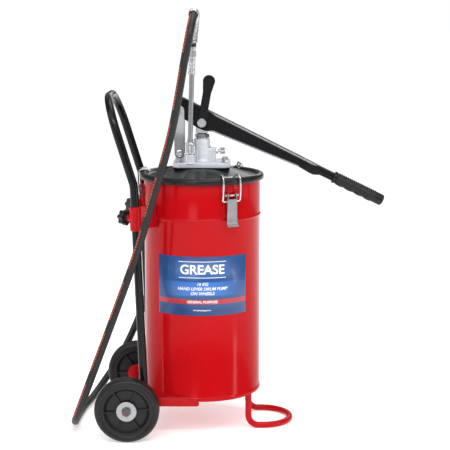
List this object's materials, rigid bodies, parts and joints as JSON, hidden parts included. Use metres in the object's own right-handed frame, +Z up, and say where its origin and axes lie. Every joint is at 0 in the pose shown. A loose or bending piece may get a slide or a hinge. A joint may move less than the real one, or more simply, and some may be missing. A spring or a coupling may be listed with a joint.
{
  "type": "manual grease pump on trolley",
  "caption": "Hand lever grease pump bolted to a latched lid on a tall drum, with a hose, nozzle, push handle, wheels and a looped foot.",
  "frame": {"origin": "middle of the footprint on the floor, measured without the hose and nozzle", "axes": "+X towards the lever grip and the front foot, +Y towards the far wheel, +Z up"},
  "size_m": [0.6199, 0.362, 0.8196],
  "materials": {
    "red_paint": "glossy red stove enamel",
    "black_enamel": "semi-gloss black enamel",
    "black_plastic": "moulded black plastic",
    "black_rubber": "black rubber",
    "zinc_plate": "bright zinc-plated steel",
    "cast_alloy": "die-cast light alloy, fine grain",
    "dark_steel": "dark oiled steel"
  },
  "bodies": {
    "root": {"drum": "red_paint", "axle_bracket": "red_paint", "front_foot": "red_paint", "handle_clamp_near": "red_paint", "handle_clamp_far": "red_paint", "latch_base_1": "red_paint", "latch_base_2": "red_paint", "latch_base_3": "red_paint", "lid": "black_enamel", "lid_eye_right": "black_enamel", "lid_eye_left": "black_enamel", "lid_gasket": "black_rubber", "hose": "black_rubber", "hub_washer_near": "zinc_plate", "hub_washer_far": "zinc_plate", "latch_pin_1": "zinc_plate", "latch_pin_2": "zinc_plate", "latch_pin_3": "zinc_plate", "gland_nut": "zinc_plate", "vent_valve": "zinc_plate", "outlet_fitting": "zinc_plate", "link_foot_bolt": "zinc_plate", "base_bolt_1": "zinc_plate", "base_bolt_2": "zinc_plate", "base_bolt_3": "zinc_plate", "base_bolt_4": "zinc_plate", "nozzle_coupler": "zinc_plate", "nozzle_tube": "zinc_plate", "hose_swivel": "zinc_plate", "spring_guard": "zinc_plate", "pump_tube": "zinc_plate", "pump_body": "cast_alloy", "axle": "dark_steel", "axle_bolt_near": "dark_steel", "axle_bolt_far": "dark_steel", "foot_valve": "dark_steel"},
    "wheel_near": {"wheel_near": "black_plastic"},
    "wheel_far": {"wheel_far": "black_plastic"},
    "rod": {"piston_rod": "dark_steel", "piston": "dark_steel", "rod_eye": "black_enamel", "rod_bolt": "zinc_plate"},
    "lever": {"lever": "black_enamel", "lever_grip": "black_rubber", "fulcrum_pin": "zinc_plate"},
    "link": {"fulcrum_link": "cast_alloy"},
    "steadying_handle": {"steadying_handle": "black_enamel"},
    "push_handle": {"push_handle": "black_enamel"},
    "knob_near": {"clamp_knob_near": "black_plastic"},
    "knob_far": {"clamp_knob_far": "black_plastic"},
    "vent_knob": {"vent_knob": "zinc_plate"},
    "follower": {"follower_plate": "red_paint", "follower_seal": "black_rubber"},
    "latch_lever_1": {"latch_lever_1": "zinc_plate"},
    "latch_bail_1": {"latch_bail_1": "zinc_plate"},
    "latch_lever_2": {"latch_lever_2": "zinc_plate"},
    "latch_bail_2": {"latch_bail_2": "zinc_plate"},
    "latch_lever_3": {"latch_lever_3": "zinc_plate"},
    "latch_bail_3": {"latch_bail_3": "zinc_plate"}
  },
  "joints": [
    {"name": "wheel_near_spin", "type": "hinge", "parent": "root", "child": "wheel_near", "pos_m": [-0.22002, -0.138, 0.0625], "axis": [0, 1, 0], "continuous": true},
    {"name": "wheel_far_spin", "type": "hinge", "parent": "root", "child": "wheel_far", "pos_m": [-0.22002, 0.138, 0.0625], "axis": [0, 1, 0], "continuous": true},
    {"name": "rod_stroke", "type": "slide", "parent": "root", "child": "rod", "axis": [0, 0, 1], "range_m": [0, 0.042]},
    {"name": "lever_pump", "type": "hinge", "parent": "rod", "child": "lever", "pos_m": [-0.07852, 0, 0.6024], "axis": [0, -1, 0], "range_deg": [0, 50]},
    {"name": "link_swing", "type": "hinge", "parent": "root", "child": "link", "pos_m": [-0.12212, 0, 0.543], "axis": [0, -1, 0], "range_deg": [0, 3.5]},
    {"name": "steadying_handle_swing", "type": "hinge", "parent": "rod", "child": "steadying_handle", "pos_m": [-0.07852, 0, 0.6024], "axis": [0, 1, 0], "range_deg": [-20, 40]},
    {"name": "push_handle_height", "type": "slide", "parent": "root", "child": "push_handle", "axis": [-0.0384, 0, 0.9993], "range_m": [0, 0.15]},
    {"name": "clamp_knob_near_turn", "type": "hinge", "parent": "root", "child": "knob_near", "pos_m": [-0.20262, -0.1, 0.4271], "axis": [-0.7066, 0.7071, -0.0271], "range_deg": [0, 360]},
    {"name": "clamp_knob_far_turn", "type": "hinge", "parent": "root", "child": "knob_far", "pos_m": [-0.20262, 0.1, 0.4271], "axis": [-0.7066, -0.7071, -0.0271], "range_deg": [0, 360]},
    {"name": "vent_knob_turn", "type": "hinge", "parent": "root", "child": "vent_knob", "pos_m": [-0.03852, 0, 0.5465], "axis": [1, 0, 0], "range_deg": [0, 360]},
    {"name": "latch_1_lever", "type": "hinge", "parent": "root", "child": "latch_lever_1", "pos_m": [-0.02007, -0.10766, 0.4734], "axis": [-0.8788, -0.4772, 0], "range_deg": [0, 100]},
    {"name": "latch_1_bail", "type": "hinge", "parent": "latch_lever_1", "child": "latch_bail_1", "pos_m": [-0.02055, -0.10678, 0.462], "axis": [-0.8788, -0.4772, 0], "range_deg": [-81, 0]},
    {"name": "latch_2_lever", "type": "hinge", "parent": "root", "child": "latch_lever_2", "pos_m": [-0.01452, 0.10445, 0.4734], "axis": [0.8526, -0.5225, 0], "range_deg": [0, 100]},
    {"name": "latch_2_bail", "type": "hinge", "parent": "latch_lever_2", "child": "latch_bail_2", "pos_m": [-0.01504, 0.1036, 0.462], "axis": [0.8526, -0.5225, 0], "range_deg": [-81, 0]},
    {"name": "latch_3_lever", "type": "hinge", "parent": "root", "child": "latch_lever_3", "pos_m": [-0.20098, 0.00321, 0.4734], "axis": [0.0262, 0.9997, 0], "range_deg": [0, 100]},
    {"name": "latch_3_bail", "type": "hinge", "parent": "latch_lever_3", "child": "latch_bail_3", "pos_m": [-0.19998, 0.00318, 0.462], "axis": [0.0262, 0.9997, 0], "range_deg": [-81, 0]},
    {"name": "follower_rise", "type": "slide", "parent": "root", "child": "follower", "axis": [0, 0, 1], "range_m": [0, 0.36]}
  ],
  "couplings": [
    {"joint": "rod_stroke", "follows": "lever_pump", "m_per_rad": 0.048},
    {"joint": "link_swing", "follows": "lever_pump", "ratio": 0.068},
    {"joint": "latch_1_bail", "follows": "latch_1_lever", "ratio": -0.8},
    {"joint": "latch_2_bail", "follows": "latch_2_lever", "ratio": -0.8},
    {"joint": "latch_3_bail", "follows": "latch_3_lever", "ratio": -0.8}
  ]
}
